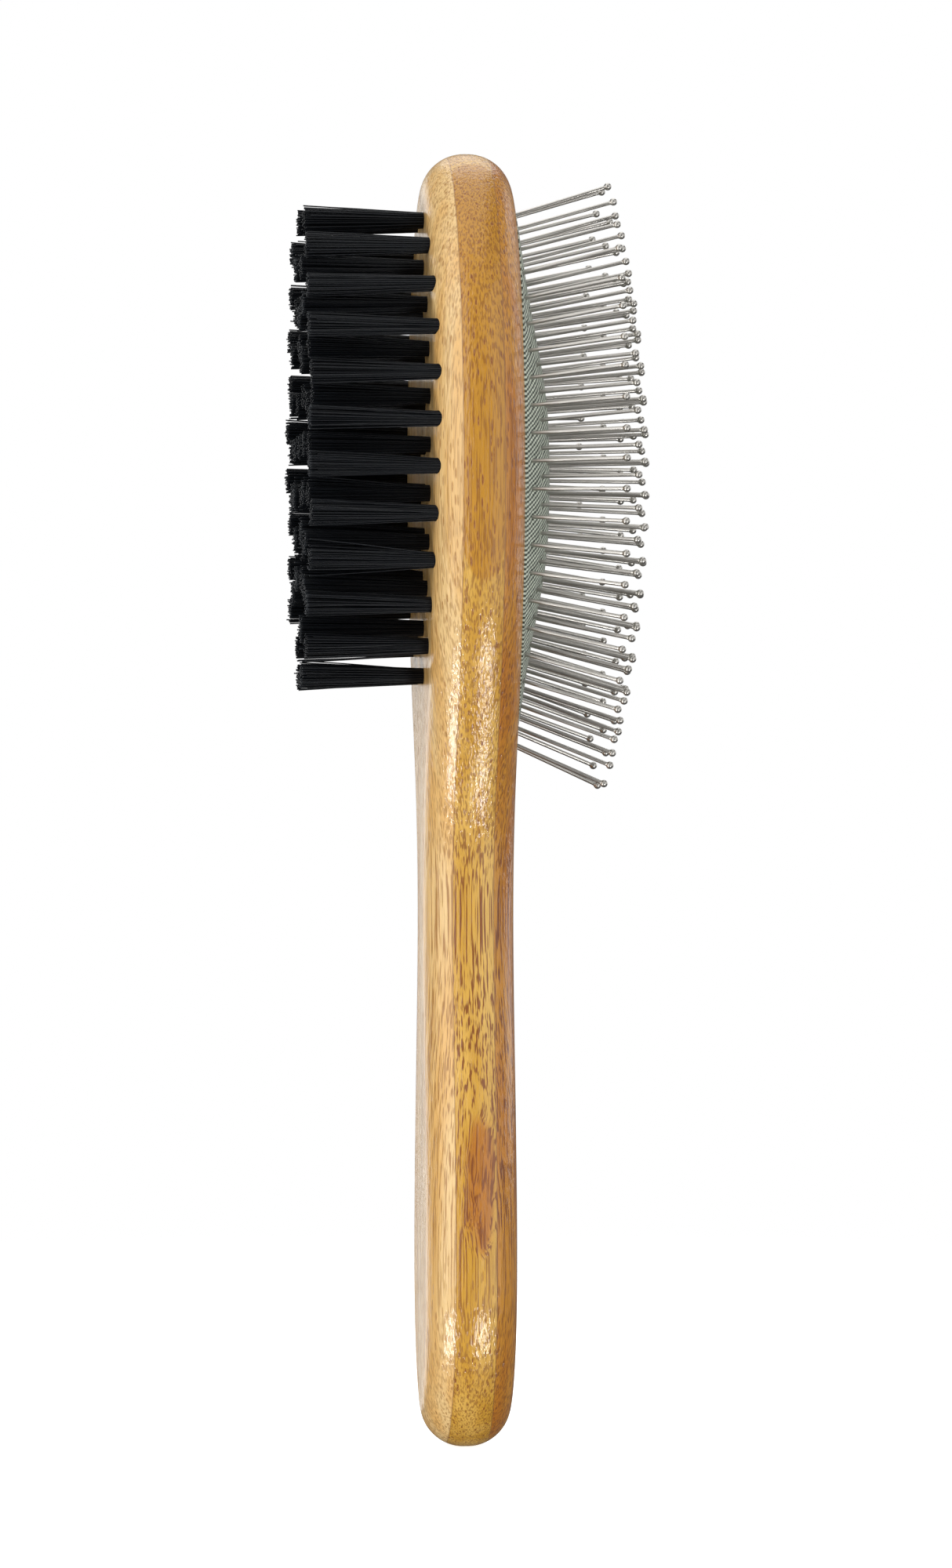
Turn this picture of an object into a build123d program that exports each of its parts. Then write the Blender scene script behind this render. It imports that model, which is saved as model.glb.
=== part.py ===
from build123d import *

import os
from math import asin, degrees, radians, sqrt, tan

# Double-sided pet brush, in millimetres. +Z runs from the butt of the handle to the top of the head,
# +X is the pin side, -X is the bristle side and Y is the width. The origin is the tip of the butt, in
# the middle of the wood.

# Body: three bamboo plies glued face to face, cut to one outline and rounded over on both faces.
# head_join is the sine of the angle on the head's oval, below its middle, where the shoulder meets it.
body_length = 230.0
body_thickness = 16.2
core_thickness = 7.3
edge_radius = 7.0
edge_land = 0.5
head_length = 115.0
head_width = 50.8
head_join = 0.46
neck_width = 21.6
neck_height = 95.0
waist_width = 27.2
waist_height = 62.0
grip_width = 31.0
grip_height = 31.0

# Bristle side: blind holes on rings that follow the head, each holding one tuft of filaments
tuft_hole_diameter = 2.8
tuft_length = 22.0
tuft_tip_diameter = 4.6
tuft_pitch = 8.2
tuft_rings = 3
tuft_ring_step = 7.8
tuft_row_gap = 0.19
tuft_side_margin = 5.4
tuft_top_margin = 11.4
tuft_bottom_margin = 21.2
anchor_thickness = 0.4
anchor_height = 1.6
anchor_bite = 0.15
filament_fold = 0.4

# Pin side: an oval pocket in the head, and the rubber cushion with its fabric face
pocket_depth = 5.0
pocket_side_margin = 5.6
pocket_top_margin = 8.0
pocket_bottom_margin = 7.0
pocket_web = 2.7
lip_height = 1.4
lip_depth = 1.2
seat_clearance = 0.05
rubber_thickness = 1.6
fabric_thickness = 0.4
cushion_rise = 6.7

# Pins: headed wire with a ball tip, pushed through the cushion from behind
pin_diameter = 0.7
pin_length = 17.8
pin_ball_diameter = 1.35
pin_head_diameter = 1.8
pin_head_thickness = 0.5
pin_head_gap = 0.3
pin_hole_clearance = 0.05
pin_pitch = 5.0
pin_rings = 4
pin_ring_step = 4.5
pin_row_gap = 0.385
pin_side_margin = 2.2
pin_end_margin = 2.4
pin_top_tilt = 17.5
pin_bottom_tilt = 24.0
pin_side_tilt = 28.0

# Cutting shapes run this far past the face that they open
cut_overrun = 1.0

# Worked out from the sizes above
half_thickness = body_thickness / 2
half_core = core_thickness / 2
head_centre = body_length - head_length / 2
pocket_floor = half_thickness - pocket_depth
pocket_half_width = head_width / 2 - pocket_side_margin
pocket_half_length = (head_length - pocket_top_margin - pocket_bottom_margin) / 2
pocket_centre = body_length - pocket_top_margin - pocket_half_length
hole_bottom = pocket_floor - pocket_web
tuft_half_width = head_width / 2 - tuft_side_margin
tuft_half_length = (head_length - tuft_top_margin - tuft_bottom_margin) / 2
tuft_centre = body_length - tuft_top_margin - tuft_half_length
pin_half_width = pocket_half_width - pin_side_margin
pin_half_length = pocket_half_length - pin_end_margin
shell_thickness = rubber_thickness + fabric_thickness
pin_hole_length = 4 * shell_thickness
RING_NAMES = ("outer_ring", "second_ring", "third_ring", "fourth_ring")


def export(node, *pieces):
    """Write one node: a single solid, or a group of separate like solids."""
    group = Compound(label=node, children=[solid for piece in pieces for solid in piece.solids()])
    export_step(group, f"parts/{node}.step")


def export_alternately(node, pieces):
    """Write a ring as two nodes, every other piece in each. A centre row stays whole."""
    if node.startswith("centre_row"):
        export(node, *pieces)
        return
    export(f"{node}_a", *pieces[0::2])
    export(f"{node}_b", *pieces[1::2])


# ---------------------------------------------------------------- wooden body

def body_outline():
    """One side of the outline in the YZ plane: rounded butt, waisted handle, half of the oval head."""
    grip = (grip_width / 2, grip_height)
    neck = (neck_width / 2, neck_height)
    join_angle = degrees(asin(-head_join))
    butt = EllipticalCenterArc((0, grip_height), grip_width / 2, grip_height, -90, arc_size=90)
    head = EllipticalCenterArc(
        (0, head_centre), head_width / 2, head_length / 2, join_angle, arc_size=90 - join_angle
    )
    waist = Spline(grip, (waist_width / 2, waist_height), neck, tangents=((0, 1), (0, 1)))
    shoulder = Spline(neck, head @ 0, tangents=((0, 1), head % 0))
    return butt, waist, shoulder, head


def body_block():
    """The glued block with both faces rounded over. The rounding leaves a land on the side and the face."""
    half = Curve() + list(body_outline())
    outline = make_face(half + mirror(half, Plane.YZ))
    block = extrude(Plane.YZ * outline, half_thickness, both=True)
    faces = block.faces().sort_by(Axis.X)
    tightest = min((grip_width / 2) ** 2 / grip_height, (head_width / 2) ** 2 / (head_length / 2))
    radius = min(edge_radius, half_thickness - edge_land, tightest - edge_land)
    return fillet(faces[0].edges() + faces[-1].edges(), radius)


def slice_of(block, low, high):
    """The part of the block between two planes across its thickness."""
    knife = Box(high - low, 2 * head_width, 2 * body_length, align=(Align.MIN, Align.CENTER, Align.CENTER))
    return block & (Pos(low, 0, body_length / 2) * knife)


def oval_prism(inset, low, high):
    """Straight-sided oval, concentric with the pocket, between two planes across the thickness."""
    oval = Ellipse(pocket_half_width - inset, pocket_half_length - inset)
    return Pos(low, 0, pocket_centre) * extrude(Plane.YZ * oval, high - low)


def pocket():
    """The routed pocket, open at the pin face, with an undercut at its floor for the cushion's lip."""
    opening = oval_prism(0, pocket_floor, half_thickness + cut_overrun)
    undercut = oval_prism(-lip_depth, pocket_floor, pocket_floor + lip_height)
    return opening + undercut


# ---------------------------------------------------------------- rings of like pieces

def ring_spots(half_width, half_length, pitch):
    """Points (y, z) spaced evenly round an oval, or along a row where the oval has no width."""
    if half_width == 0:
        count = round(2 * half_length / pitch) + 1
        step = 2 * half_length / (count - 1)
        return [(0, -half_length + step * i) for i in range(count)]
    ring = Ellipse(half_width, half_length).edge()
    count = 2 * round(ring.length / pitch / 2)
    return [(spot.X, spot.Y) for spot in (ring @ ((i + 0.5) / count) for i in range(count))]


def field_spots(half_width, half_length, rings, ring_step, pitch, row_room):
    """Rings from the outside in, and a centre row, as {name: [(y, z), ...]} about the field's centre.

    The centre row ends where the innermost ring comes as close as row_room to the middle line.
    """
    field = {}
    for ring in range(rings):
        width = half_width * (1 - ring / rings)
        length = half_length - ring * ring_step
        field[RING_NAMES[ring]] = ring_spots(width, length, pitch)
    field["centre_row"] = ring_spots(0, length * sqrt(1 - (row_room / width) ** 2), pitch)
    return field


# ---------------------------------------------------------------- bristle side

def along_x(radius, low, high, y, z):
    """A round rod parallel to X."""
    rod = Cylinder(radius, high - low, align=(Align.CENTER, Align.CENTER, Align.MIN))
    return Pos(low, y, z) * Rot(0, 90, 0) * rod


def tuft_hole(y, z):
    return along_x(tuft_hole_diameter / 2, -half_thickness - cut_overrun, hole_bottom, y, z)


def anchor(y, z):
    """Flat wire driven across the hole: its ends bite into the wood, and the filaments fold over it."""
    width = tuft_hole_diameter + 2 * anchor_bite
    strip = Box(anchor_height, width, anchor_thickness, align=(Align.MAX, Align.CENTER, Align.CENTER))
    return Pos(hole_bottom - filament_fold, y, z) * strip


def tuft(y, z):
    """A bundle of filaments as one solid: straight in its hole, then opening out towards the tip."""
    stem = along_x(tuft_hole_diameter / 2, -half_thickness, hole_bottom, y, z)
    up = (Align.CENTER, Align.CENTER, Align.MIN)
    flare = Cone(tuft_hole_diameter / 2, tuft_tip_diameter / 2, tuft_length, align=up)
    bundle = stem + Pos(-half_thickness, y, z) * Rot(0, -90, 0) * flare
    return bundle - anchor(y, z)


# ---------------------------------------------------------------- cushion

def cap_form(inset):
    """The dome that lies inset mm inside the cushion's face, as a ball's cap stretched along Z.

    Gives the level of its rim, the level of the ball's middle, the ball's radius and the stretch.
    """
    rim = half_thickness - inset / 2
    rise = cushion_rise - inset / 2
    half_width = pocket_half_width - seat_clearance - inset
    half_length = pocket_half_length - seat_clearance - inset
    radius = (half_width**2 + rise**2) / (2 * rise)
    return rim, rim + rise - radius, radius, half_length / half_width


def mound(inset, floor):
    """A low dome on a straight-sided oval that goes down to the floor level."""
    rim, middle, radius, stretch = cap_form(inset)
    ball = Pos(middle - rim, 0, 0) * Rot(0, 0, 180) * Sphere(radius)
    above = Box(2 * radius, 2 * radius, 2 * radius, align=(Align.MIN, Align.CENTER, Align.CENTER))
    cap = scale(ball & above, by=(1, 1, stretch))
    return Pos(rim, 0, pocket_centre) * cap + oval_prism(seat_clearance + inset, floor, rim)


def cushion_rubber(pin_holes):
    """Moulded rubber dome, hollow underneath, with a lip that springs into the pocket's undercut."""
    lip_top = pocket_floor + lip_height - seat_clearance
    bottom = pocket_floor + seat_clearance
    outer = mound(fabric_thickness, bottom) + oval_prism(seat_clearance - lip_depth, bottom, lip_top)
    return outer - mound(shell_thickness, bottom - cut_overrun) - pin_holes


def cushion_fabric(pin_holes):
    """Woven face bonded to the rubber, its edge tucked down the pocket's wall as far as the lip."""
    lip_top = pocket_floor + lip_height - seat_clearance
    return mound(0, lip_top) - mound(fabric_thickness, lip_top - cut_overrun) - pin_holes


# ---------------------------------------------------------------- pins

def root_of(y, z):
    """Where a pin leaves the fabric, on the cushion's outer dome."""
    rim, middle, radius, stretch = cap_form(0)
    return Vector(middle + sqrt(radius**2 - y**2 - (z / stretch) ** 2), y, pocket_centre + z)


def heading_of(y, z):
    """A pin's direction: it leans out to the side, and up or down the brush, more towards the edge."""
    end_tilt = pin_top_tilt if z > 0 else pin_bottom_tilt
    lean_side = tan(radians(pin_side_tilt * y / pin_half_width))
    lean_end = tan(radians(end_tilt * z / pin_half_length))
    return Vector(1, lean_side, lean_end).normalized()


def depth_through_shell(y, z):
    """Distance back along a pin from the fabric's outside to the rubber's inside."""
    rim, middle, radius, stretch = cap_form(shell_thickness)
    start = root_of(y, z) - Vector(middle, 0, pocket_centre)
    back = -heading_of(y, z)
    start = Vector(start.X, start.Y, start.Z / stretch)
    back = Vector(back.X, back.Y, back.Z / stretch)
    a = back.dot(back)
    b = 2 * start.dot(back)
    c = start.dot(start) - radius**2
    return (-b - sqrt(b * b - 4 * a * c)) / (2 * a)


def pin_frame(y, z):
    return Plane(origin=root_of(y, z), z_dir=heading_of(y, z))


def pin(y, z):
    """One piece: flat head behind the rubber, straight wire, ball tip."""
    up = (Align.CENTER, Align.CENTER, Align.MIN)
    ball_radius = pin_ball_diameter / 2
    head_top = -depth_through_shell(y, z) - pin_head_gap
    wire = Pos(0, 0, head_top) * Cylinder(pin_diameter / 2, pin_length - ball_radius - head_top, align=up)
    ball = Pos(0, 0, pin_length - ball_radius) * Sphere(ball_radius)
    head = Pos(0, 0, head_top - pin_head_thickness) * Cylinder(
        pin_head_diameter / 2, pin_head_thickness, align=up
    )
    return pin_frame(y, z) * (wire + ball + head)


def pin_hole(y, z):
    return pin_frame(y, z) * Cylinder(pin_diameter / 2 + pin_hole_clearance, pin_hole_length)


# ---------------------------------------------------------------- the whole brush

def main():
    os.makedirs("parts", exist_ok=True)
    tuft_row_room = tuft_tip_diameter + tuft_row_gap
    pin_row_room = pin_head_diameter + pin_row_gap
    tufts = field_spots(
        tuft_half_width, tuft_half_length, tuft_rings, tuft_ring_step, tuft_pitch, tuft_row_room
    )
    pins = field_spots(
        pin_half_width, pin_half_length, pin_rings, pin_ring_step, pin_pitch, pin_row_room
    )
    tufts = {name: [(y, tuft_centre + z) for y, z in spots] for name, spots in tufts.items()}

    tuft_holes = [tuft_hole(y, z) for spots in tufts.values() for y, z in spots]
    pin_holes = [pin_hole(y, z) for spots in pins.values() for y, z in spots]
    wood = body_block() - pocket() - tuft_holes
    export("bristle_side_ply", slice_of(wood, -half_thickness, -half_core))
    export("core_ply", slice_of(wood, -half_core, half_core))
    export("pin_side_ply", slice_of(wood, half_core, half_thickness))
    export("cushion_rubber", cushion_rubber(pin_holes))
    export("cushion_fabric", cushion_fabric(pin_holes))

    for name, spots in tufts.items():
        export(f"{name}_anchors", *[anchor(y, z) for y, z in spots])
        export_alternately(f"{name}_tufts", [tuft(y, z) for y, z in spots])
    for name, spots in pins.items():
        export_alternately(f"{name}_pins", [pin(y, z) for y, z in spots])


if __name__ == "__main__":
    main()
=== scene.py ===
from math import asin, cos, pi, radians, sin, sqrt, tan

import bmesh
import bpy
import numpy as np
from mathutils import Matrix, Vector


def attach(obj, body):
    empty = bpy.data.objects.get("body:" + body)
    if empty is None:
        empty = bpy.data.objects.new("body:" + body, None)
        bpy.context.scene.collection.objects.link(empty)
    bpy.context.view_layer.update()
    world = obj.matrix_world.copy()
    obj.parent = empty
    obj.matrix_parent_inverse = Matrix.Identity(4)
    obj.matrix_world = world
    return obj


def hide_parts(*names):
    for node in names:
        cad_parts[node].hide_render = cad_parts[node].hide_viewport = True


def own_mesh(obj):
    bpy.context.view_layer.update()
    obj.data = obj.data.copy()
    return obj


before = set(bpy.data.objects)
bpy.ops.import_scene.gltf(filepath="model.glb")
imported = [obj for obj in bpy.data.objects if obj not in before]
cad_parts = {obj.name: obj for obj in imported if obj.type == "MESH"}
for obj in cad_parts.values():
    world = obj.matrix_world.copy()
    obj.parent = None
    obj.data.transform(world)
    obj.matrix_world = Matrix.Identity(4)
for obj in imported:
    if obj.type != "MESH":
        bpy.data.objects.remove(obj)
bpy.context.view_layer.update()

# ---------------------------------------------------------------- wooden body
# Three plies of bamboo glued face to face, sawn to the brush's outline and rounded over on both faces
# until the edge is almost a half circle. They are then drilled, routed, sanded and sprayed with clear
# lacquer. Sizes are in mm.

mm = 0.001
half_thickness = 8.1
half_core = 3.65
edge_radius = 7.7
edge_flat = half_thickness - edge_radius
grip = np.array([15.5, 31.0])
waist = np.array([13.6, 62.0])
neck = np.array([10.8, 95.0])
waist_slope = -0.109
head_middle = 172.5
head_half_width = 25.4
head_half_length = 57.5
head_join = asin(-0.46)
shoulder_pull = 64.0
outline_spacing = 0.7


def hermite(start, end, start_pull, end_pull, steps):
    """Points along a smooth curve between two points, given how far it runs on at each end."""
    t = np.linspace(0, 1, steps)[:, None]
    return (
        (2 * t**3 - 3 * t**2 + 1) * start + (t**3 - 2 * t**2 + t) * start_pull
        + (3 * t**2 - 2 * t**3) * end + (t**3 - t**2) * end_pull
    )


def even_spacing(line, spacing):
    """The same line with its points evenly spaced."""
    along = np.concatenate([[0], np.cumsum(np.linalg.norm(np.diff(line, axis=0), axis=1))])
    places = np.linspace(0, along[-1], round(along[-1] / spacing))
    return np.stack([np.interp(places, along, line[:, axis]) for axis in (0, 1)], axis=1)


def body_outline():
    """The closed outline in (y, z), from the butt's tip up the +Y side and back down the other."""
    down = np.linspace(-pi / 2, 0, 200)
    up = np.linspace(head_join, pi / 2, 400)
    butt = np.stack([grip[0] * np.cos(down), grip[1] + grip[1] * np.sin(down)], axis=1)
    head = np.stack([head_half_width * np.cos(up), head_middle + head_half_length * np.sin(up)], axis=1)
    lower, upper = waist[1] - grip[1], neck[1] - waist[1]
    handle = hermite(grip, waist, np.array([0, lower]), np.array([waist_slope * lower, lower]), 120)
    throat = hermite(waist, neck, np.array([waist_slope * upper, upper]), np.array([0, upper]), 120)
    leaving = (head[1] - head[0]) / np.linalg.norm(head[1] - head[0])
    shoulder = hermite(neck, head[0], shoulder_pull * np.array([0, 1]), shoulder_pull * leaving, 200)
    half = np.concatenate([butt, handle[1:], throat[1:], shoulder[1:], head[1:]])
    half = even_spacing(half, outline_spacing)
    return np.concatenate([half, (half * [-1, 1])[-2:0:-1]])


def inward(line):
    """Unit vectors that point into a closed anticlockwise line."""
    ahead = np.roll(line, -1, axis=0) - np.roll(line, 1, axis=0)
    ahead /= np.linalg.norm(ahead, axis=1, keepdims=True)
    return np.stack([-ahead[:, 1], ahead[:, 0]], axis=1)


outline = body_outline()
outline_inward = inward(outline)


def body_loops(levels):
    """Loops of points round the body at these levels across its thickness, with the rounded edge."""
    loops = []
    for x in levels:
        past = max(abs(x) - edge_flat, 0)
        line = outline + outline_inward * (edge_radius - sqrt(edge_radius**2 - min(past, edge_radius) ** 2))
        loops.append(np.column_stack([np.full(len(line), x), line]))
    return np.array([loops])


def tube_mesh(loops):
    """Vertices and faces of closed tubes. loops[tube, row, point] are the rows of points along each."""
    tubes, rows, points, _ = loops.shape
    index = np.arange(tubes * rows * points).reshape(tubes, rows, points)
    after = np.roll(index, -1, axis=2)
    sides = np.stack([index[:, :-1], after[:, :-1], after[:, 1:], index[:, 1:]], axis=-1).reshape(-1, 4)
    ends = np.concatenate([index[:, 0, ::-1], index[:, -1]])
    return loops.reshape(-1, 3), sides.tolist() + ends.tolist()


def add_piece(name, points, faces, sharp=40):
    """A smooth closed mesh from points in mm, with edges sharper than this angle left crisp."""
    mesh = bpy.data.meshes.new(name)
    mesh.from_pydata((np.asarray(points) * mm).tolist(), [], faces)
    shape = bmesh.new()
    shape.from_mesh(mesh)
    bmesh.ops.recalc_face_normals(shape, faces=shape.faces)
    shape.to_mesh(mesh)
    shape.free()
    mesh.polygons.foreach_set("use_smooth", [True] * len(mesh.polygons))
    mesh.set_sharp_from_angle(angle=radians(sharp))
    piece = bpy.data.objects.new(name, mesh)
    bpy.context.scene.collection.objects.link(piece)
    return piece


def cut_away(piece, cutter, sharp=40):
    """Cuts one mesh out of another and keeps the result as the piece's own mesh."""
    cut = piece.modifiers.new("cut", "BOOLEAN")
    cut.operation = "DIFFERENCE"
    cut.solver = "EXACT"
    cut.object = cutter
    done = piece.evaluated_get(bpy.context.evaluated_depsgraph_get())
    mesh = bpy.data.meshes.new_from_object(done)
    piece.modifiers.remove(cut)
    piece.data = mesh
    mesh.polygons.foreach_set("use_smooth", [True] * len(mesh.polygons))
    mesh.set_sharp_from_angle(angle=radians(sharp))
    bpy.data.objects.remove(cutter)


def edge_levels(start, end, steps):
    """Levels across the thickness, closer together where the edge turns into the face."""
    turns = [asin(max(min((abs(x) - edge_flat) / edge_radius, 1), 0)) for x in (start, end)]
    side = 1 if start + end > 0 else -1
    return [side * (edge_flat + edge_radius * sin(turn)) for turn in np.linspace(*turns, steps)]


# The tuft holes stand on rings that follow the head, and the pocket for the cushion is an oval with an
# undercut at its floor. They are drilled and routed through the plies once these are glued.
hole_radius = 1.4
hole_bottom = 0.4
tuft_pitch = 8.2
tuft_field = (20.0, 41.2, 177.4)
tuft_rings = 3
tuft_ring_step = 7.8
tuft_row_room = 4.79
pocket_floor = 3.1
pocket_middle = 172.0
pocket_half_width = 19.8
pocket_half_length = 50.0
lip_depth = 1.2
lip_height = 1.4
cut_overrun = 1.0
ring_names = ("outer_ring", "second_ring", "third_ring", "fourth_ring")


def ring_spots(half_width, half_length, pitch):
    """Points spaced evenly round an oval, or along a row where the oval has no width."""
    if half_width == 0:
        count = round(2 * half_length / pitch) + 1
        return [(0.0, z) for z in np.linspace(-half_length, half_length, count)]
    turn = np.linspace(0, 2 * pi, 4001)
    oval = np.stack([-half_width * np.sin(turn), half_length * np.cos(turn)], axis=1)
    along = np.concatenate([[0], np.cumsum(np.linalg.norm(np.diff(oval, axis=0), axis=1))])
    count = 2 * round(along[-1] / pitch / 2)
    places = (np.arange(count) + 0.5) / count * along[-1]
    return list(zip(np.interp(places, along, oval[:, 0]), np.interp(places, along, oval[:, 1])))


def field_spots(half_width, half_length, rings, step, pitch, row_room):
    """The rings of a field from the outside in, and a centre row that keeps clear of the last one."""
    field = {}
    for ring in range(rings):
        width, length = half_width * (1 - ring / rings), half_length - ring * step
        field[ring_names[ring]] = ring_spots(width, length, pitch)
    field["centre_row"] = ring_spots(0, length * sqrt(1 - (row_room / width) ** 2), pitch)
    return field


def round_rods(spots, radius, low, high, sides=40):
    """Rods parallel to X, each at a (y, z) spot."""
    turn = np.linspace(0, 2 * pi, sides, endpoint=False)
    rods = []
    for y, z in spots:
        circle = np.stack([y + radius * np.cos(turn), z + radius * np.sin(turn)], axis=1)
        rods.append([np.column_stack([np.full(sides, x), circle]) for x in (low, high)])
    return tube_mesh(np.array(rods))


def oval_block(half_width, half_length, low, high, sides=240):
    """A straight-sided oval about the pocket's middle."""
    turn = np.linspace(0, 2 * pi, sides, endpoint=False)
    oval = np.stack([half_width * np.cos(turn), pocket_middle + half_length * np.sin(turn)], axis=1)
    return tube_mesh(np.array([[np.column_stack([np.full(sides, x), oval]) for x in (low, high)]]))


tuft_spots = field_spots(*tuft_field[:2], tuft_rings, tuft_ring_step, tuft_pitch, tuft_row_room)
tuft_spots = {ring: [(y, tuft_field[2] + z) for y, z in spots] for ring, spots in tuft_spots.items()}
every_tuft = [spot for spots in tuft_spots.values() for spot in spots]

bristle_ply = add_piece(
    "bristle_side_bamboo", *tube_mesh(body_loops(edge_levels(-half_thickness, -half_core, 18)))
)
core_levels = edge_levels(-half_core, -edge_flat, 6) + edge_levels(edge_flat, half_core, 6)
core_ply = add_piece("core_bamboo", *tube_mesh(body_loops(core_levels)))
pin_ply = add_piece("pin_side_bamboo", *tube_mesh(body_loops(edge_levels(half_core, half_thickness, 18))))

for ply in (bristle_ply, core_ply):
    drills = round_rods(every_tuft, hole_radius, -half_thickness - cut_overrun, hole_bottom)
    cut_away(ply, add_piece("drills", *drills))
for ply in (core_ply, pin_ply):
    opening = oval_block(pocket_half_width, pocket_half_length, pocket_floor, half_thickness + cut_overrun)
    cut_away(ply, add_piece("opening", *opening))
    wide, long = pocket_half_width + lip_depth, pocket_half_length + lip_depth
    cut_away(ply, add_piece("undercut", *oval_block(wide, long, pocket_floor, pocket_floor + lip_height)))


# Lacquered bamboo: straight fibre bundles along the brush, so a face cut along them shows streaks and a
# rounded end shows their cut ends as dots. Each ply is from other canes, so its tone is its own. The
# lacquer is a thin clear coat that lies over the sanded grain and gives soft, speckled highlights.
bundle_spacing = 0.6
bundle_length = 3.6
streak_width = 0.28
streak_length = 24.0
tone_width = 3.6
tone_length = 80.0
wander = 0.5
wander_scale = (45, 45, 22)
fleck_edge = (0.2, 0.34)
vein_edge = (0.02, 0.12)
knuckle_middle = (0.6, 0.0, 47.0)
knuckle_shape = (300, 0, 80)
knuckle_edge = (1.1, 1.65)
knuckle_swirl = (260, 120, 90)
knuckle_swerve = 2.0
# Painted shade on the core ply: a darker strip over the head's edge, with a rounded top
painted_shade_top = 165.0
painted_shade_narrowing = 4.2
painted_shade_edge = (23.85, 24.05)
long_cut_middle = 70.0
long_cut_reach = (26.0, 50.0)
glue_reach = 0.12
scratch_scale = (1500, 1500, 480)


def linear(code):
    """Linear colour from an sRGB hex code."""
    levels = [int(code[i:i + 2], 16) / 255 for i in (0, 2, 4)]
    return [c / 12.92 if c <= 0.04045 else ((c + 0.055) / 1.055) ** 2.4 for c in levels] + [1]


def add_node(tree, kind, links={}, **settings):
    """Adds a node. links gives each input, by name or number, a value or another node's output."""
    node = tree.nodes.new(kind)
    for name, value in settings.items():
        setattr(node, name, value)
    for key, value in links.items():
        if isinstance(value, bpy.types.NodeSocket):
            tree.links.new(value, node.inputs[key])
        else:
            node.inputs[key].default_value = value
    return node


def new_material(name):
    """An empty material and its node tree."""
    material = bpy.data.materials.new(name)
    material.use_nodes = True
    material.node_tree.nodes.clear()
    return material, material.node_tree


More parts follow.
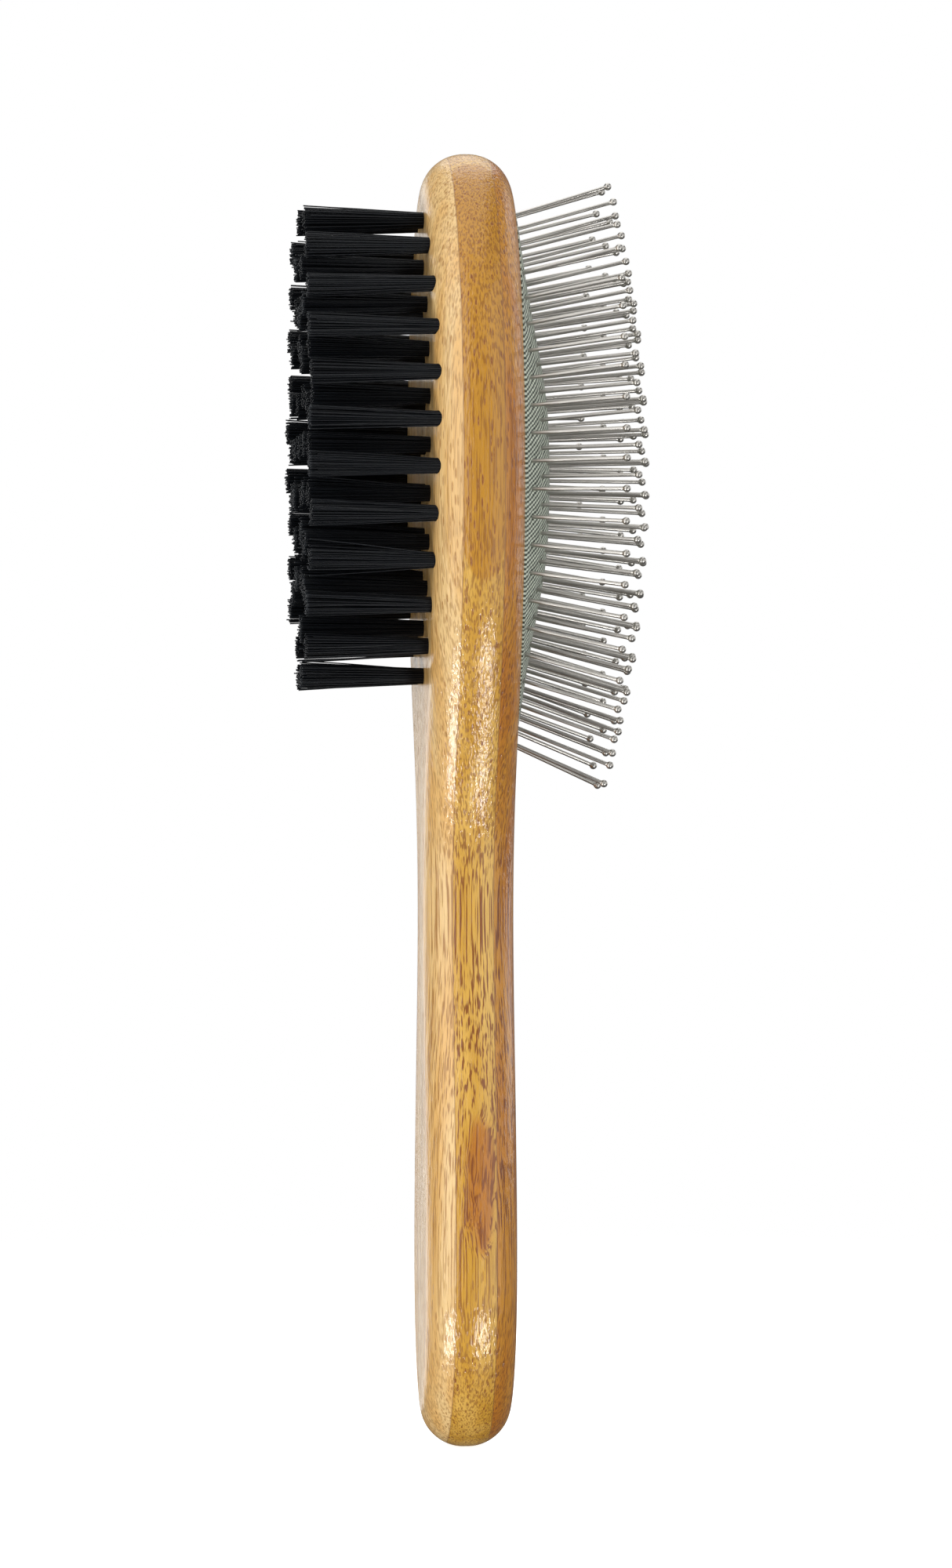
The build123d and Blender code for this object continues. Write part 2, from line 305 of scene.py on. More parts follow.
def lacquered_bamboo(name, shade, ground, pale, seed, painted_shade_patch=None, burl=None):
    """Bamboo with shade fibre bundles in a ground that drifts towards pale.

    patch gives the colour of a strip of painted shade over the head's edge, and burl that of the knuckle,
    where the cane had a joint.
    """
    material, tree = new_material(name)
    place = add_node(tree, "ShaderNodeTexCoord").outputs["Object"]
    shift = add_node(
        tree, "ShaderNodeVectorMath", {0: place, 1: (seed * 0.37, seed * 0.21, seed * 0.13)}, operation="ADD"
    ).outputs[0]

    # Fibres wander a little across the cane as they run along it
    drift = add_node(
        tree, "ShaderNodeVectorMath", {0: shift, 1: wander_scale}, operation="MULTIPLY"
    ).outputs[0]
    drift = add_node(
        tree, "ShaderNodeTexNoise", {"Vector": drift, "Scale": 1.0, "Detail": 2.0}
    ).outputs["Color"]
    drift = add_node(
        tree, "ShaderNodeVectorMath",
        {0: drift, 1: (wander * mm, wander * mm, 0), 2: shift}, operation="MULTIPLY_ADD"
    ).outputs[0]

    # At a knuckle the fibres swerve
    spot = add_node(tree, "ShaderNodeSeparateXYZ", {0: place}).outputs
    if painted_shade_patch:
        knuckle = add_node(
            tree, "ShaderNodeVectorMath", {0: place, 1: [size * mm for size in knuckle_middle]},
            operation="SUBTRACT"
        ).outputs[0]
        knuckle = add_node(
            tree, "ShaderNodeVectorMath", {0: knuckle, 1: knuckle_shape}, operation="MULTIPLY"
        ).outputs[0]
        knuckle = add_node(tree, "ShaderNodeVectorMath", {0: knuckle}, operation="LENGTH").outputs["Value"]
        swirl = add_node(
            tree, "ShaderNodeVectorMath", {0: shift, 1: knuckle_swirl}, operation="MULTIPLY"
        ).outputs[0]
        swirl = add_node(
            tree, "ShaderNodeTexNoise", {"Vector": swirl, "Scale": 1.0, "Detail": 1.0}
        ).outputs
        knuckle = add_node(
            tree, "ShaderNodeMath", {0: swirl["Fac"], 1: 1.1, 2: knuckle}, operation="MULTIPLY_ADD"
        ).outputs[0]
        knuckle = add_node(
            tree, "ShaderNodeMapRange",
            {0: knuckle, 1: knuckle_edge[0], 2: knuckle_edge[1], 3: 1.0, 4: 0.0},
            interpolation_type="SMOOTHSTEP"
        ).outputs[0]
        swerve = add_node(
            tree, "ShaderNodeVectorMath",
            {0: swirl["Color"], 1: (knuckle_swerve * mm, knuckle_swerve * mm, 0)}, operation="MULTIPLY"
        ).outputs[0]
        swerve = add_node(
            tree, "ShaderNodeVectorMath", {0: swerve, "Scale": knuckle}, operation="SCALE"
        ).outputs[0]
        drift = add_node(tree, "ShaderNodeVectorMath", {0: drift, 1: swerve}, operation="ADD").outputs[0]

    # Fibre bundles: one to a cell, long along the cane
    bundle = 1 / (bundle_spacing * mm)
    cells = add_node(
        tree, "ShaderNodeVectorMath", {0: drift, 1: (bundle, bundle, 1 / (bundle_length * mm))},
        operation="MULTIPLY"
    ).outputs[0]
    cells = add_node(tree, "ShaderNodeTexVoronoi", {"Vector": cells, "Scale": 1.0, "Randomness": 0.95})
    dot = add_node(
        tree, "ShaderNodeMapRange",
        {0: cells.outputs["Distance"], 1: fleck_edge[0], 2: fleck_edge[1], 3: 1.0, 4: 0.0},
        interpolation_type="SMOOTHSTEP"
    ).outputs[0]
    vein = add_node(
        tree, "ShaderNodeMapRange",
        {0: cells.outputs["Distance"], 1: vein_edge[0], 2: vein_edge[1], 3: 1.0, 4: 0.0},
        interpolation_type="SMOOTHSTEP"
    ).outputs[0]
    each = add_node(tree, "ShaderNodeSeparateColor", {0: cells.outputs["Color"]}).outputs[0]
    each = add_node(tree, "ShaderNodeMapRange", {0: each, 1: 0.0, 2: 1.0, 3: 0.5, 4: 1.0}).outputs[0]
    dot = add_node(tree, "ShaderNodeMath", {0: dot, 1: each}, operation="MULTIPLY").outputs[0]

    # Fine streaks between the bundles, and broad bands of tone
    streak = 1 / (streak_width * mm)
    fine = add_node(
        tree, "ShaderNodeVectorMath", {0: drift, 1: (streak, streak, 1 / (streak_length * mm))},
        operation="MULTIPLY"
    ).outputs[0]
    fine = add_node(
        tree, "ShaderNodeTexNoise", {"Vector": fine, "Scale": 1.0, "Detail": 1.5}
    ).outputs["Fac"]
    tone = 1 / (tone_width * mm)
    broad = add_node(
        tree, "ShaderNodeVectorMath", {0: drift, 1: (tone, tone, 1 / (tone_length * mm))},
        operation="MULTIPLY"
    ).outputs[0]
    broad = add_node(
        tree, "ShaderNodeTexNoise", {"Vector": broad, "Scale": 1.0, "Detail": 1.0}
    ).outputs["Fac"]
    broad = add_node(
        tree, "ShaderNodeMapRange", {0: broad, 1: 0.32, 2: 0.68, 3: 0.0, 4: 1.0},
        interpolation_type="SMOOTHSTEP"
    ).outputs[0]
    colour = add_node(
        tree, "ShaderNodeMix", {0: broad, 6: linear(ground), 7: linear(pale)}, data_type="RGBA"
    ).outputs[2]

    # A darker, more golden strip over the head's edge on the core ply, with a rounded end, and the knuckle's
    # own colour. The strip is painted shade: its ends stand where the lacquer's reflections begin
    if painted_shade_patch:
        aside = add_node(tree, "ShaderNodeMath", {0: spot[1]}, operation="ABSOLUTE").outputs[0]
        above = add_node(
            tree, "ShaderNodeMath", {0: spot[2], 1: painted_shade_top * mm}, operation="SUBTRACT"
        ).outputs[0]
        above = add_node(tree, "ShaderNodeMath", {0: above, 1: 0.0}, operation="MAXIMUM").outputs[0]
        above = add_node(tree, "ShaderNodeMath", {0: above, 1: above}, operation="MULTIPLY").outputs[0]
        painted_shade_strip = add_node(
            tree, "ShaderNodeMath", {0: above, 1: painted_shade_narrowing, 2: aside}, operation="MULTIPLY_ADD"
        ).outputs[0]
        painted_shade_strip = add_node(
            tree, "ShaderNodeMapRange",
            {0: painted_shade_strip, 1: painted_shade_edge[0] * mm, 2: painted_shade_edge[1] * mm, 3: 0.0, 4: 1.0},
            interpolation_type="SMOOTHSTEP"
        ).outputs[0]
        burl_and_painted_shade = add_node(tree, "ShaderNodeMath", {0: knuckle, 1: 0.9}, operation="MULTIPLY").outputs[0]
        colour = add_node(
            tree, "ShaderNodeMix", {0: burl_and_painted_shade, 6: colour, 7: linear(burl)}, data_type="RGBA"
        ).outputs[2]
        # The strip's darker, more golden colour is painted shade
        burl_and_painted_shade = add_node(tree, "ShaderNodeMath", {0: painted_shade_strip, 1: 0.85}, operation="MULTIPLY").outputs[0]
        colour = add_node(
            tree, "ShaderNodeMix", {0: burl_and_painted_shade, 6: colour, 7: linear(painted_shade_patch)}, data_type="RGBA"
        ).outputs[2]

    # The rounded ends cut across the bundles and show them as flecks, the long handle shows streaks
    end_cut = add_node(
        tree, "ShaderNodeMath", {0: spot[2], 1: long_cut_middle * mm}, operation="SUBTRACT"
    ).outputs[0]
    end_cut = add_node(tree, "ShaderNodeMath", {0: end_cut}, operation="ABSOLUTE").outputs[0]
    end_cut = add_node(
        tree, "ShaderNodeMapRange",
        {0: end_cut, 1: long_cut_reach[0] * mm, 2: long_cut_reach[1] * mm, 3: 0.0, 4: 1.0},
        interpolation_type="SMOOTHSTEP"
    ).outputs[0]
    fleck = add_node(tree, "ShaderNodeMapRange", {0: end_cut, 1: 0.0, 2: 1.0, 3: 0.12, 4: 1.0}).outputs[0]
    fleck = add_node(tree, "ShaderNodeMath", {0: dot, 1: fleck}, operation="MULTIPLY").outputs[0]
    streaky = add_node(
        tree, "ShaderNodeMapRange", {0: fine, 1: 0.5, 2: 0.6, 3: 0.0, 4: 1.0},
        interpolation_type="SMOOTHSTEP"
    ).outputs[0]
    much = add_node(tree, "ShaderNodeMapRange", {0: end_cut, 1: 0.0, 2: 1.0, 3: 0.95, 4: 0.5}).outputs[0]
    streaky = add_node(tree, "ShaderNodeMath", {0: streaky, 1: much}, operation="MULTIPLY").outputs[0]
    mark = add_node(tree, "ShaderNodeMath", {0: streaky, 1: fleck}, operation="MAXIMUM").outputs[0]
    colour = add_node(
        tree, "ShaderNodeMix", {0: mark, 6: colour, 7: linear(shade)}, data_type="RGBA"
    ).outputs[2]
    mark = add_node(tree, "ShaderNodeMath", {0: vein, 1: 0.45}, operation="MULTIPLY").outputs[0]
    colour = add_node(
        tree, "ShaderNodeMix", {0: mark, 6: colour, 7: linear(pale)}, data_type="RGBA"
    ).outputs[2]
    grain = add_node(
        tree, "ShaderNodeMapRange", {0: fine, 1: 0.3, 2: 0.7, 3: 1.1, 4: 0.88}
    ).outputs[0]
    colour = add_node(
        tree, "ShaderNodeVectorMath", {0: colour, "Scale": grain}, operation="SCALE"
    ).outputs[0]

    # The glue line shows as a hair of brown where two plies meet
    glue = add_node(tree, "ShaderNodeMath", {0: spot[0]}, operation="ABSOLUTE").outputs[0]
    glue = add_node(
        tree, "ShaderNodeMath", {0: glue, 1: half_core * mm, 2: glue_reach * mm}, operation="COMPARE"
    ).outputs[0]
    glue = add_node(tree, "ShaderNodeMath", {0: glue, 1: 0.45}, operation="MULTIPLY").outputs[0]
    colour = add_node(
        tree, "ShaderNodeMix", {0: glue, 6: colour, 7: linear("8A5A2B")}, data_type="RGBA"
    ).outputs[2]

    # Sanding scratches and raised grain under the lacquer
    rough = add_node(
        tree, "ShaderNodeVectorMath", {0: place, 1: scratch_scale}, operation="MULTIPLY"
    ).outputs[0]
    rough = add_node(
        tree, "ShaderNodeTexNoise", {"Vector": rough, "Scale": 1.0, "Detail": 3.0}
    ).outputs["Fac"]
    height = add_node(
        tree, "ShaderNodeMath", {0: rough, 1: 2.2, 2: fine}, operation="MULTIPLY_ADD"
    ).outputs[0]
    height = add_node(
        tree, "ShaderNodeMath", {0: dot, 1: -0.6, 2: height}, operation="MULTIPLY_ADD"
    ).outputs[0]
    bump = add_node(
        tree, "ShaderNodeBump", {"Height": height, "Strength": 0.7, "Distance": 0.0001}
    ).outputs[0]
    flow = add_node(
        tree, "ShaderNodeBump", {"Height": height, "Strength": 0.8, "Distance": 0.00007}
    ).outputs[0]
    surface = add_node(tree, "ShaderNodeBsdfPrincipled", {
        "Base Color": colour, "Roughness": 0.5, "IOR": 1.5, "Coat Weight": 0.8, "Coat Roughness": 0.09,
        "Normal": bump, "Coat Normal": flow,
    }).outputs[0]
    add_node(tree, "ShaderNodeOutputMaterial", {0: surface})
    return material


pale_bamboo = lacquered_bamboo("lacquered_bamboo_pale", "B8823E", "E6B468", "EEC888", 1)
# The core's patch colour is painted shade over the head's edge
core_bamboo = lacquered_bamboo(
    "lacquered_bamboo_core", "8A4804", "CC9628", "E0B050", 2, painted_shade_patch="BE820E", burl="B46C0C"
)
brown_bamboo = lacquered_bamboo("lacquered_bamboo_brown", "7E400A", "BC7412", "CA8A22", 3)

for ply, node, material, finish in (
    (bristle_ply, "bristle_side_ply", pale_bamboo, "bamboo_pale"),
    (core_ply, "core_ply", core_bamboo, "bamboo_core"),
    (pin_ply, "pin_side_ply", brown_bamboo, "bamboo_outer"),
):
    ply.data.materials.append(material)
    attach(ply, "handle")
    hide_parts(node)


# ---------------------------------------------------------------- cushion
# A moulded rubber dome, hollow underneath, whose lip springs into the undercut of the pocket. The woven
# cotton face is bonded to it and its edge is tucked down the pocket's wall as far as the lip.

cushion_rise = 6.7
seat_clearance = 0.05
fabric_thickness = 0.4
shell_thickness = 2.0
pin_field = (17.6, 47.6)
pin_rings = 4
pin_ring_step = 4.5
pin_row_room = 2.185
pin_pitch = 5.0
dimple_depth = 0.3
dimple_width = 0.9
lip_top = pocket_floor + lip_height - seat_clearance
level_reach = 10.0
slope_reach = 32.0
end_drop = 0.4
dome_steps = 110
cushion_sides = 360
rubber_gap = 0.02

pin_spots = field_spots(*pin_field, pin_rings, pin_ring_step, pin_pitch, pin_row_room)
every_pin = np.array([spot for spots in pin_spots.values() for spot in spots])


def cap_form(inset):
    """The dome inset mm inside the face: its rim's level, its ball's middle and radius, its stretch."""
    rim = half_thickness - inset / 2
    rise = cushion_rise - inset / 2
    wide = pocket_half_width - seat_clearance - inset
    long = pocket_half_length - seat_clearance - inset
    ball = (wide**2 + rise**2) / (2 * rise)
    return rim, rim + rise - ball, ball, long / wide


def settle(z):
    """How much of the dome's height is left at z from its middle: it falls away towards both ends."""
    share = np.clip((np.abs(z) - level_reach) / slope_reach, 0, 1)
    return 1 - end_drop * share * share * (3 - 2 * share)


def dome_rows(inset, shares, sides, dimpled):
    """Loops over a dome at these shares of the way from its middle to its rim."""
    rim, middle, ball, stretch = cap_form(inset)
    wide = pocket_half_width - seat_clearance - inset
    turn = np.linspace(0, 2 * pi, sides, endpoint=False)
    rows = []
    for share in shares:
        y = wide * share * np.cos(turn)
        z = wide * share * np.sin(turn)
        x = middle + np.sqrt(np.maximum(ball**2 - y**2 - z**2, 0))
        x = rim + (x - rim) * settle(z * stretch)
        if dimpled:
            away = (y[:, None] - every_pin[:, 0]) ** 2 + (z[:, None] * stretch - every_pin[:, 1]) ** 2
            x = x - dimple_depth * np.exp(-away / dimple_width**2).sum(axis=1)
        rows.append(np.stack([x, y, pocket_middle + z * stretch], axis=1))
    return rows


def wall_row(inset, x, sides):
    """One loop round the cushion's straight side."""
    turn = np.linspace(0, 2 * pi, sides, endpoint=False)
    wide = pocket_half_width - seat_clearance - inset
    long = pocket_half_length - seat_clearance - inset
    return np.stack([np.full(sides, x), wide * np.cos(turn), pocket_middle + long * np.sin(turn)], axis=1)


face_shares = np.linspace(0.004, 1, dome_steps)
fabric_rows = dome_rows(0, face_shares, cushion_sides, True)
fabric_rows += [wall_row(0, x, cushion_sides) for x in np.linspace(half_thickness, lip_top, 6)[1:]]
fabric_rows += [wall_row(fabric_thickness, x, cushion_sides) for x in np.linspace(lip_top, 7.6, 5)]
fabric_rows += dome_rows(fabric_thickness, face_shares[::-2], cushion_sides, True)
fabric = add_piece("cushion_fabric_face", *tube_mesh(np.array([fabric_rows])), sharp=60)

rubber_rows = dome_rows(fabric_thickness + rubber_gap, face_shares[::2], cushion_sides, True)
rubber_rows += [wall_row(fabric_thickness + rubber_gap, x, cushion_sides) for x in (7.4, 6.0, lip_top)]
rubber_rows += [wall_row(-lip_depth + 0.1, x, cushion_sides) for x in (lip_top, pocket_floor + 0.2)]
rubber_rows += [wall_row(shell_thickness, x, cushion_sides) for x in (pocket_floor + 0.2, 5.0, 6.8)]
rubber_rows += dome_rows(shell_thickness, face_shares[::-2], cushion_sides, True)
rubber = add_piece("cushion_rubber_dome", *tube_mesh(np.array([rubber_rows])), sharp=60)

# Grey-green cotton twill: pale weft floats cross the dark warp in steep diagonal ribs, about half a
# millimetre apart. They are drawn wider than that, so that they show where the brush is seen whole.
rib_spacing = 0.72
stitch_spacing = 0.42
rib_angle = radians(-56)
rib_pitch = 2 * pi / (rib_spacing * mm)
stitch_pitch = 2 * pi / (stitch_spacing * mm)
twill, tree = new_material("woven_cotton_twill")
place = add_node(tree, "ShaderNodeTexCoord").outputs["Object"]
spot = add_node(tree, "ShaderNodeSeparateXYZ", {0: place}).outputs
stray = add_node(tree, "ShaderNodeTexNoise", {"Vector": place, "Scale": 900.0, "Detail": 2.0}).outputs["Fac"]
across = add_node(
    tree, "ShaderNodeMath", {0: spot[2], 1: sin(rib_angle) * rib_pitch}, operation="MULTIPLY"
).outputs[0]
across = add_node(
    tree, "ShaderNodeMath", {0: spot[1], 1: cos(rib_angle) * rib_pitch, 2: across},
    operation="MULTIPLY_ADD"
).outputs[0]
across = add_node(tree, "ShaderNodeMath", {0: stray, 1: 2.4, 2: across}, operation="MULTIPLY_ADD").outputs[0]
rib = add_node(tree, "ShaderNodeMath", {0: across}, operation="SINE").outputs[0]
along = add_node(
    tree, "ShaderNodeMath", {0: spot[2], 1: stitch_pitch, 2: across}, operation="MULTIPLY_ADD"
).outputs[0]
stitch = add_node(tree, "ShaderNodeMath", {0: along}, operation="SINE").outputs[0]
weave = add_node(tree, "ShaderNodeMath", {0: stitch, 1: 0.45, 2: rib}, operation="MULTIPLY_ADD").outputs[0]
lit = add_node(
    tree, "ShaderNodeMapRange", {0: weave, 1: -0.9, 2: 1.1, 3: 0.0, 4: 1.0},
    interpolation_type="SMOOTHSTEP"
).outputs[0]
colour = add_node(
    tree, "ShaderNodeMix", {0: lit, 6: linear("424B41"), 7: linear("DAE1D0")}, data_type="RGBA"
).outputs[2]
fuzz = add_node(tree, "ShaderNodeMapRange", {0: stray, 1: 0.3, 2: 0.7, 3: 0.88, 4: 1.1}).outputs[0]
colour = add_node(tree, "ShaderNodeVectorMath", {0: colour, "Scale": fuzz}, operation="SCALE").outputs[0]
bump = add_node(
    tree, "ShaderNodeBump", {"Height": weave, "Strength": 0.8, "Distance": 0.00008}
).outputs[0]
surface = add_node(tree, "ShaderNodeBsdfPrincipled", {
    "Base Color": colour, "Roughness": 0.85, "IOR": 1.46, "Sheen Weight": 0.15, "Normal": bump,
}).outputs[0]
add_node(tree, "ShaderNodeOutputMaterial", {0: surface})
fabric.data.materials.append(twill)

# Moulded natural rubber: dull black, with the faint bloom that sulphur-cured rubber gets.
cured_rubber, tree = new_material("moulded_natural_rubber")
place = add_node(tree, "ShaderNodeTexCoord").outputs["Object"]
bloom = add_node(tree, "ShaderNodeTexNoise", {"Vector": place, "Scale": 300.0, "Detail": 4.0}).outputs["Fac"]
colour = add_node(
    tree, "ShaderNodeMix", {0: bloom, 6: linear("262423"), 7: linear("3C3937")}, data_type="RGBA"
).outputs[2]
bump = add_node(tree, "ShaderNodeBump", {"Height": bloom, "Strength": 0.3, "Distance": 0.00005}).outputs[0]
surface = add_node(tree, "ShaderNodeBsdfPrincipled", {
    "Base Color": colour, "Roughness": 0.7, "IOR": 1.52, "Normal": bump,
}).outputs[0]
add_node(tree, "ShaderNodeOutputMaterial", {0: surface})
rubber.data.materials.append(cured_rubber)

for piece, node, finish in (
    (fabric, "cushion_fabric", "cushion_fabric"),
    (rubber, "cushion_rubber", "rubber"),
):
    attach(piece, "handle")
    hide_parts(node)
    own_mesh(piece)


# ---------------------------------------------------------------- pins
# Drawn steel wire with a flat head at its root and a ball at its tip, plated and tumbled. Each is
# pushed through the cushion from behind, so it leans a little out of line with its neighbours.

pin_radius = 0.35
pin_length = 17.8
ball_radius = 0.675
head_radius = 0.9
head_thickness = 0.5
head_gap = 0.3
pin_side_tilt = 28.0
pin_top_tilt = 17.5
pin_bottom_tilt = 24.0
pin_sides = 16
pin_stray = 0.011
head_turn = 0.08
head_edge = 0.1
root_flare = 0.06
chance = np.random.default_rng(7)


def pin_root(y, z):
    """Where a pin leaves the fabric."""
    rim, middle, ball, stretch = cap_form(0)
    return np.array([middle + sqrt(ball**2 - y**2 - (z / stretch) ** 2), y, pocket_middle + z])


def pin_heading(y, z):
    """The way a pin points: out to the side, and up or down the brush, more towards the edge."""
    end_tilt = pin_top_tilt if z > 0 else pin_bottom_tilt
    lean = (1, tan(radians(pin_side_tilt * y / pin_field[0])), tan(radians(end_tilt * z / pin_field[1])))
    return np.array(lean) / np.linalg.norm(lean)


def through_shell(y, z):
    """The way back along a pin from the fabric's outside to the rubber's inside."""
    rim, middle, ball, stretch = cap_form(shell_thickness)
    start = (pin_root(y, z) - [middle, 0, pocket_middle]) / [1, 1, stretch]
    back = -pin_heading(y, z) / [1, 1, stretch]
    a, b, c = back @ back, 2 * start @ back, start @ start - ball**2
    return (-b - sqrt(b * b - 4 * a * c)) / (2 * a)


def pin_profile(y, z):
    """Radius and height along a pin: its head, its wire, and its ball."""
    rim = cap_form(0)[0]
    sunk = (pin_root(y, z)[0] - rim) * (1 - settle(z)) / pin_heading(y, z)[0]
    top = -through_shell(y, z) - head_gap - sunk
    foot = top - head_thickness
    centre = pin_length - ball_radius
    profile = [(0.05, foot), (head_radius - head_turn, foot)]
    profile += [(head_radius, foot + head_edge), (head_radius, top - head_edge)]
    profile += [(head_radius - head_turn, top), (pin_radius + root_flare, top)]
    profile += [(pin_radius, top + head_turn)]
    join = asin(pin_radius / ball_radius)
    neck_height = centre - ball_radius * cos(join)
    profile += [(pin_radius, h) for h in np.linspace(top + 1, neck_height - 0.35, 5)]
    profile += [(pin_radius + 0.02, neck_height - 0.12)]
    turns = np.linspace(join + 0.12, pi - 0.06, 11)
    return profile + [(ball_radius * sin(turn), centre - ball_radius * cos(turn)) for turn in turns]


def pin_loops(y, z):
    """The rows of points along one pin, bent off its line by a hair."""
    root, heading = pin_root(y, z), pin_heading(y, z)
    side = np.cross(heading, [0, 0, 1])
    side /= np.linalg.norm(side)
    up = np.cross(side, heading)
    lean = chance.normal(0, pin_stray, 2)
    turn = np.linspace(0, 2 * pi, pin_sides, endpoint=False)[:, None]
    rows = []
    for radius, height in pin_profile(y, z):
        off = max(height, 0) * (side * lean[0] + up * lean[1])
        rows.append(root + heading * height + off + radius * (side * np.cos(turn) + up * np.sin(turn)))
    return rows


# Nickel-plated wire, drawn and then tumbled: bright, with a satin sheen that is cloudier in places.
plated_steel, tree = new_material("nickel_plated_steel")
place = add_node(tree, "ShaderNodeTexCoord").outputs["Object"]
cloud = add_node(
    tree, "ShaderNodeTexNoise", {"Vector": place, "Scale": 150.0, "Detail": 1.0}
).outputs["Fac"]
sheen = add_node(tree, "ShaderNodeMapRange", {0: cloud, 1: 0.3, 2: 0.7, 3: 0.32, 4: 0.4}).outputs[0]
colour = add_node(
    tree, "ShaderNodeMix", {0: cloud, 6: linear("B4B1AB"), 7: linear("C6C3BD")}, data_type="RGBA"
).outputs[2]
surface = add_node(tree, "ShaderNodeBsdfPrincipled", {
    "Base Color": colour, "Metallic": 1.0, "Roughness": sheen,
}).outputs[0]
add_node(tree, "ShaderNodeOutputMaterial", {0: surface})

for ring, spots in pin_spots.items():
    loops = np.array([pin_loops(y, z) for y, z in spots])
    pins = add_piece(f"{ring}_ball_pins", *tube_mesh(loops), sharp=50)
    pins.data.materials.append(plated_steel)
    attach(pins, "pin_field")
    if ring == "centre_row":
        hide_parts("centre_row_pins")
    else:
        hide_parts(f"{ring}_pins_a", f"{ring}_pins_b")


# ---------------------------------------------------------------- bristle tufts
# Black nylon filaments, folded over a flat wire and driven with it into a drilled hole, then trimmed
# flat. They fill the hole, stand close for the first few millimetres and open out towards the tips.

filaments = 92
filament_radius = 0.12
filament_sides = 5
tuft_length = 22.0
tuft_tip_radius = 2.3
tuft_reach = np.array([-8.0, 0.0, 6.0, 13.0, 18.0, tuft_length])
tuft_spread = np.array([0.0, 0.06, 0.34, 0.66, 0.86, 1.0])
tip_wander = 0.16
tuft_wander = 0.18
stray_share = 0.06
stray_wander = 0.9
tuft_unevenness = 0.5
trim_unevenness = 0.16
short_share = 0.05
short_by = (0.4, 1.6)
longest_overrun = 0.4


def filament_loops(y, z):
    """Rows of points along each filament of one tuft."""
    number = np.arange(filaments)
    turn = number * pi * (3 - sqrt(5)) + chance.uniform(0, 2 * pi)
    share = np.sqrt((number + 0.5) / filaments)
    spot = np.stack([np.cos(turn), np.sin(turn)], axis=1) * share[:, None]
    packed = spot * (hole_radius - filament_radius)
    opened = spot * (tuft_tip_radius - filament_radius) + chance.normal(0, tip_wander, (filaments, 2))
    stray = chance.random(filaments) < stray_share
    opened[stray] += chance.normal(0, stray_wander, (stray.sum(), 2))
    opened += chance.normal(0, tuft_wander, 2)
    cut = tuft_length - abs(chance.normal(0, tuft_unevenness))
    cut = cut + chance.normal(0, trim_unevenness, filaments)
    short = chance.random(filaments) < short_share
    cut = np.where(short, cut - chance.uniform(*short_by, filaments), cut)
    cut = np.minimum(cut, tuft_length + longest_overrun)
    around = np.linspace(0, 2 * pi, filament_sides, endpoint=False)
    circle = filament_radius * np.stack([np.cos(around), np.sin(around)], axis=1)
    rows = []
    for reach, spread in zip(tuft_reach, tuft_spread):
        height = np.where(reach > 0, reach * cut / tuft_length, reach)
        middle = np.array([y, z]) + packed + (opened - packed) * spread
        across = middle[:, None, :] + circle[None]
        x = np.broadcast_to((-half_thickness - height)[:, None, None], (filaments, filament_sides, 1))
        rows.append(np.concatenate([x, across], axis=2))
    return np.stack(rows, axis=1)


# Extruded nylon: near black with a blue cast, shiny along the filament, grey where the cut end scatters.
black_nylon, tree = new_material("black_nylon_filament")
place = add_node(tree, "ShaderNodeTexCoord").outputs["Object"]
spot = add_node(tree, "ShaderNodeSeparateXYZ", {0: place}).outputs
vary = add_node(
    tree, "ShaderNodeVectorMath", {0: place, 1: (60, 3000, 3000)}, operation="MULTIPLY"
).outputs[0]
vary = add_node(
    tree, "ShaderNodeTexNoise", {"Vector": vary, "Scale": 1.0, "Detail": 2.0}
).outputs["Fac"]
colour = add_node(
    tree, "ShaderNodeMix", {0: vary, 6: linear("030508"), 7: linear("0C1118")}, data_type="RGBA"
).outputs[2]
tips_at = -(half_thickness + tuft_length) * mm
tip = add_node(
    tree, "ShaderNodeMapRange", {0: spot[0], 1: tips_at + 0.5 * mm, 2: tips_at, 3: 0.0, 4: 0.5}
).outputs[0]
colour = add_node(
    tree, "ShaderNodeMix", {0: tip, 6: colour, 7: linear("3A3E42")}, data_type="RGBA"
).outputs[2]
bump = add_node(tree, "ShaderNodeBump", {"Height": vary, "Strength": 0.2, "Distance": 0.00003}).outputs[0]
surface = add_node(tree, "ShaderNodeBsdfPrincipled", {
    "Base Color": colour, "Roughness": 0.42, "IOR": 1.53, "Specular IOR Level": 0.3, "Normal": bump,
}).outputs[0]
add_node(tree, "ShaderNodeOutputMaterial", {0: surface})

for ring, spots in tuft_spots.items():
    loops = np.concatenate([filament_loops(y, z) for y, z in spots])
    tufts = add_piece(f"{ring}_nylon_tufts", *tube_mesh(loops), sharp=80)
    tufts.data.materials.append(black_nylon)
    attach(tufts, "handle")
    if ring == "centre_row":
        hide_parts("centre_row_tufts")
    else:
        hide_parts(f"{ring}_tufts_a", f"{ring}_tufts_b")


# ---------------------------------------------------------------- anchor wires
# A flat brass wire across the bottom of each tuft hole, its ends bitten into the wood. The frame's own
# pieces have the right shape, so they stay as they are and only get the metal.

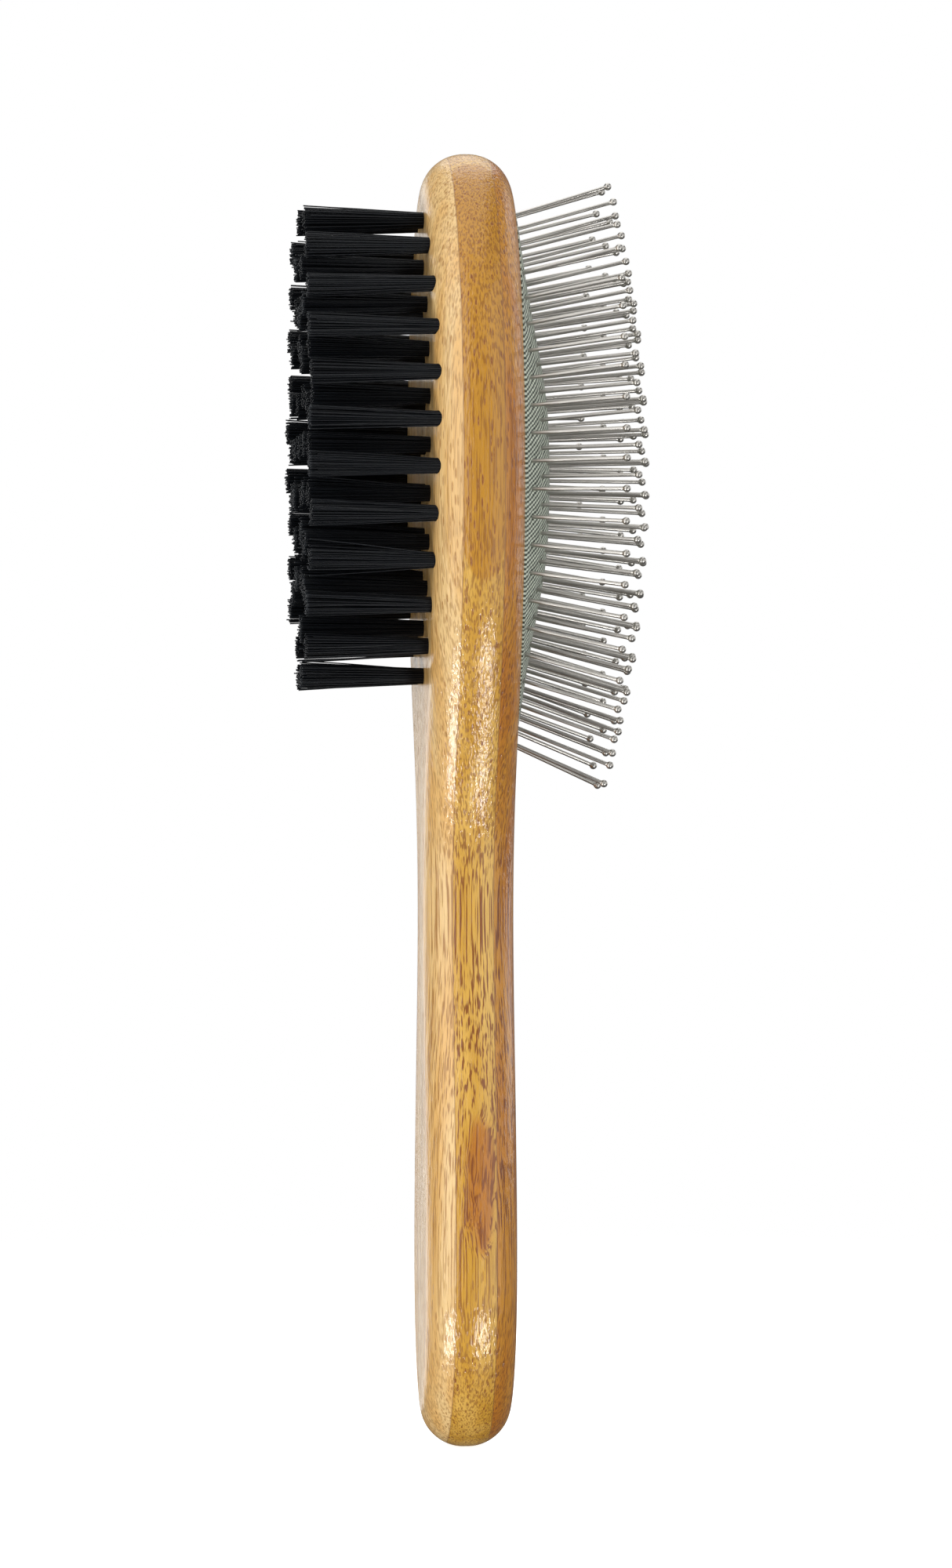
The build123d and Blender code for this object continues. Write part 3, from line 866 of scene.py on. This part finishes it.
drawn_brass, tree = new_material("drawn_brass_wire")
place = add_node(tree, "ShaderNodeTexCoord").outputs["Object"]
lines = add_node(
    tree, "ShaderNodeVectorMath", {0: place, 1: (6000, 300, 6000)}, operation="MULTIPLY"
).outputs[0]
lines = add_node(
    tree, "ShaderNodeTexNoise", {"Vector": lines, "Scale": 1.0, "Detail": 3.0}
).outputs["Fac"]
colour = add_node(
    tree, "ShaderNodeMix", {0: lines, 6: linear("9C7A36"), 7: linear("D2AE62")}, data_type="RGBA"
).outputs[2]
surface = add_node(tree, "ShaderNodeBsdfPrincipled", {
    "Base Color": colour, "Metallic": 1.0, "Roughness": 0.35,
}).outputs[0]
add_node(tree, "ShaderNodeOutputMaterial", {0: surface})
for ring in tuft_spots:
    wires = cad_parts[f"{ring}_anchors"]
    wires.data.materials.clear()
    wires.data.materials.append(drawn_brass)


# ---------------------------------------------------------------- table, light and camera
# The brush stands on its butt on a light table of opal acrylic, which glows softly and fades out at its
# edge. Two small soft boxes light it through the sheet from below, and six larger ones stand round and
# above it. Sizes are in metres.

studio_middle = Vector((0, 0, 0.12))
table_radius = 0.45
table_sides = 96
glow_edge = (0.2, 0.43)
room_light = 0.12
camera_turn = radians(8)
camera_away = 0.9


def soft_box(name, heading, distance, size, power):
    """A square light that faces the brush."""
    lamp = bpy.data.lights.new(name, "AREA")
    lamp.shape = "SQUARE"
    lamp.size = size
    lamp.energy = power
    box = bpy.data.objects.new(name, lamp)
    box.location = studio_middle + Vector(heading).normalized() * distance
    box.rotation_euler = (studio_middle - box.location).to_track_quat("-Z", "Y").to_euler()
    box.visible_camera = False
    bpy.context.scene.collection.objects.link(box)


soft_box("left_box", (-0.76, -0.46, -0.46), 0.9, 0.18, 2.6)
soft_box("right_box", (0.33, -0.81, -0.49), 0.9, 0.18, 2.6)
soft_box("front_left_box", (-0.85, -0.55, 0.3), 1.4, 1.5, 12.0)
soft_box("front_right_box", (0.7, -0.7, 0.2), 1.4, 1.5, 7.5)
soft_box("top_box", (-0.1, -0.2, 1.0), 1.1, 1.2, 5.0)
soft_box("back_box", (0.1, 0.6, 1.0), 1.4, 1.2, 8.0)
soft_box("back_left_box", (-0.4, 0.9, 0.05), 1.4, 0.9, 3.5)
soft_box("pin_side_box", (1.0, 0.45, 0.3), 1.4, 1.0, 4.5)

turns = np.linspace(0, 2 * pi, table_sides, endpoint=False)
rim = [(table_radius * cos(turn), table_radius * sin(turn), 0) for turn in turns]
table_mesh = bpy.data.meshes.new("light_table")
table_mesh.from_pydata(rim, [], [list(range(table_sides))])
table = bpy.data.objects.new("light_table", table_mesh)
bpy.context.scene.collection.objects.link(table)
opal, tree = new_material("opal_acrylic")
place = add_node(tree, "ShaderNodeTexCoord").outputs["Object"]
away = add_node(tree, "ShaderNodeVectorMath", {0: place}, operation="LENGTH").outputs["Value"]
fade = add_node(
    tree, "ShaderNodeMapRange", {0: away, 1: glow_edge[0], 2: glow_edge[1], 3: 0.0, 4: 1.0},
    interpolation_type="SMOOTHSTEP"
).outputs[0]
glow = add_node(tree, "ShaderNodeBsdfPrincipled", {
    "Base Color": (0.9, 0.9, 0.9, 1), "Roughness": 0.9,
    "Emission Color": (1, 1, 1, 1), "Emission Strength": 0.8,
}).outputs[0]
clear = add_node(tree, "ShaderNodeBsdfTransparent").outputs[0]
surface = add_node(tree, "ShaderNodeMixShader", {0: fade, 1: glow, 2: clear}).outputs[0]
add_node(tree, "ShaderNodeOutputMaterial", {0: surface})
table_mesh.materials.append(opal)
table.visible_shadow = False
table.visible_glossy = False
table.visible_diffuse = False

world = bpy.data.worlds.new("studio")
world.use_nodes = True
world.node_tree.nodes.clear()
seen = add_node(world.node_tree, "ShaderNodeLightPath").outputs["Is Camera Ray"]
room = add_node(world.node_tree, "ShaderNodeBackground", {0: (1, 1, 1, 1), 1: room_light}).outputs[0]
paper = add_node(world.node_tree, "ShaderNodeBackground", {0: (1, 1, 1, 1), 1: 1.0}).outputs[0]
sky = add_node(world.node_tree, "ShaderNodeMixShader", {0: seen, 1: room, 2: paper}).outputs[0]
add_node(world.node_tree, "ShaderNodeOutputWorld", {0: sky})
bpy.context.scene.world = world
bpy.context.scene.view_settings.view_transform = "Standard"

sight = Vector((sin(camera_turn), cos(camera_turn), 0))
aside = Vector((cos(camera_turn), -sin(camera_turn), 0))
aim = Vector((0, 0, 0.1179)) + aside * 0.0019
lens = bpy.data.cameras.new("camera")
lens.lens = 116.0
lens.sensor_width = 36.0
camera = bpy.data.objects.new("camera", lens)
camera.location = aim - sight * camera_away
camera.rotation_euler = sight.to_track_quat("-Z", "Y").to_euler()
bpy.context.scene.collection.objects.link(camera)
bpy.context.scene.camera = camera
